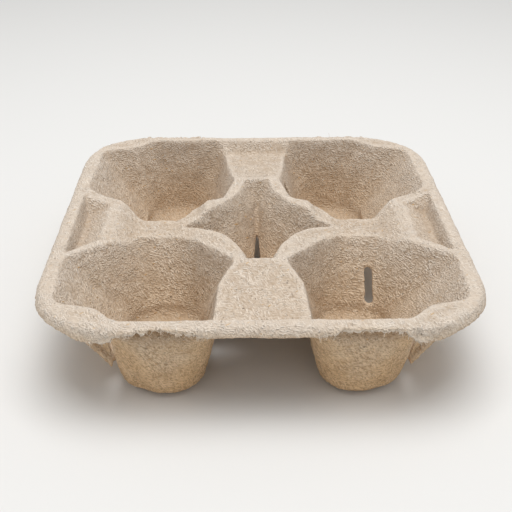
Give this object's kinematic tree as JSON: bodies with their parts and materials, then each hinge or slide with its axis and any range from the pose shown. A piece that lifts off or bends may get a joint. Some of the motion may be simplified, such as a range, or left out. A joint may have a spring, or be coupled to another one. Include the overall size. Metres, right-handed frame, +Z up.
{
  "type": "moulded pulp cup carrier",
  "caption": "Square moulded-pulp tray that carries takeaway cups in deep sloping pockets around a centre well, with a turned-down rim.",
  "frame": {"origin": "centre of the tray on the surface that it stands on", "axes": "+Z up, +Y to the back, +X to the right as the picture shows it"},
  "size_m": [0.216, 0.216, 0.051],
  "materials": {
    "pulp": "matte"
  },
  "bodies": {
    "root": {"pulp_tray": "pulp"}
  },
  "joints": []
}
